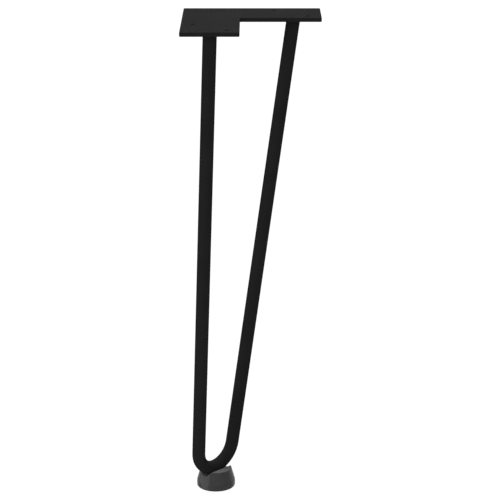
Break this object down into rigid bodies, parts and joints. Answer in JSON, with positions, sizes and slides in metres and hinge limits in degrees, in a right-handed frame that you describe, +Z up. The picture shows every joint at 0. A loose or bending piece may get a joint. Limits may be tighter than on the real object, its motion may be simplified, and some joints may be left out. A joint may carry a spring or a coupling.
{
  "type": "hairpin table leg",
  "caption": "Hairpin table leg: a round steel rod bent into a narrow U, leaning out under an L-shaped screw plate, with a rubber foot on its bend.",
  "frame": {"origin": "on the plate's top face, straight above the bend's lowest point, where the centre lines of the plate's two arms cross", "axes": "+Z up out of the plate's top face, +Y towards the plate's outer corner, +X from the left rod to the right rod"},
  "size_m": [0.1406, 0.0992, 0.37],
  "materials": {
    "plate_coat": "fine matt black powder coat",
    "rod_coat": "fine matt black powder coat",
    "weld_coat": "powder-coated weld bead",
    "foot_rubber": "moulded dark grey rubber"
  },
  "bodies": {
    "root": {"mounting_plate": "plate_coat", "hairpin_rod": "rod_coat", "weld_left": "weld_coat", "weld_right": "weld_coat", "foot": "foot_rubber"}
  },
  "joints": []
}
